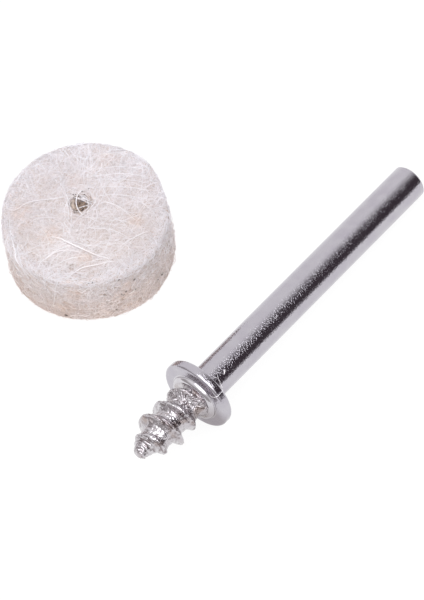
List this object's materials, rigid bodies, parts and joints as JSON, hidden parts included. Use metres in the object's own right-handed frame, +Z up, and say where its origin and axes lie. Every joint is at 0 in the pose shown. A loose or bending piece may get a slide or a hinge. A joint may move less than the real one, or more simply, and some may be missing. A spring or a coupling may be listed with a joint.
{
  "type": "felt polishing wheel",
  "caption": "Round felt polishing wheel with a pilot hole, lying beside its screw-tipped mandrel with a collar and a plain round shank.",
  "frame": {"origin": "on the bench, under the middle of the box around both pieces", "axes": "+X along the lying mandrel from screw tip to shank end, +Y from the mandrel towards the wheel, +Z up from the bench"},
  "size_m": [0.0342, 0.027, 0.0062],
  "materials": {
    "wool_felt": "pressed wool felt, matt, with loose white fibres",
    "plated_steel": "bright nickel-plated steel, rough cast-like plating on the screw"
  },
  "bodies": {
    "mandrel": {"mandrel": "plated_steel"},
    "wheel": {"felt_wheel": "wool_felt"}
  },
  "joints": [
    {"name": "wheel_turn", "type": "hinge", "parent": "mandrel", "child": "wheel", "pos_m": [-0.003, 0.00745, 0.00285], "axis": [0, 0, 1], "continuous": true}
  ]
}
